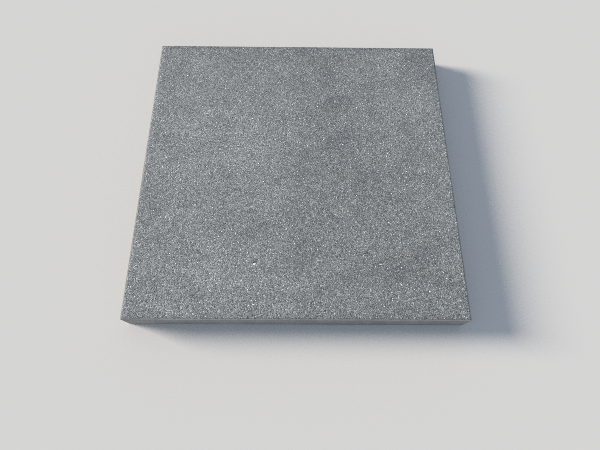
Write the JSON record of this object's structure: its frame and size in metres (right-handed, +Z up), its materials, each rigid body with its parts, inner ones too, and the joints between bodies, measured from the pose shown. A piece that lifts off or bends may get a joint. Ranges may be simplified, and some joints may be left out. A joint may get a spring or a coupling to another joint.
{
  "type": "concrete paving slab",
  "caption": "Large square concrete paving slab with a fine blasted wearing face and a narrow bevel round its upper edge.",
  "frame": {"origin": "middle of the underside, which lies on the bed", "axes": "+Z up through the wearing face, +X towards the right joint face, +Y towards the back joint face"},
  "size_m": [1, 1, 0.08],
  "materials": {
    "blasted_concrete": "anthracite grey concrete, finely blasted so that light grains show, matt"
  },
  "bodies": {
    "root": {"slab": "blasted_concrete"}
  },
  "joints": []
}
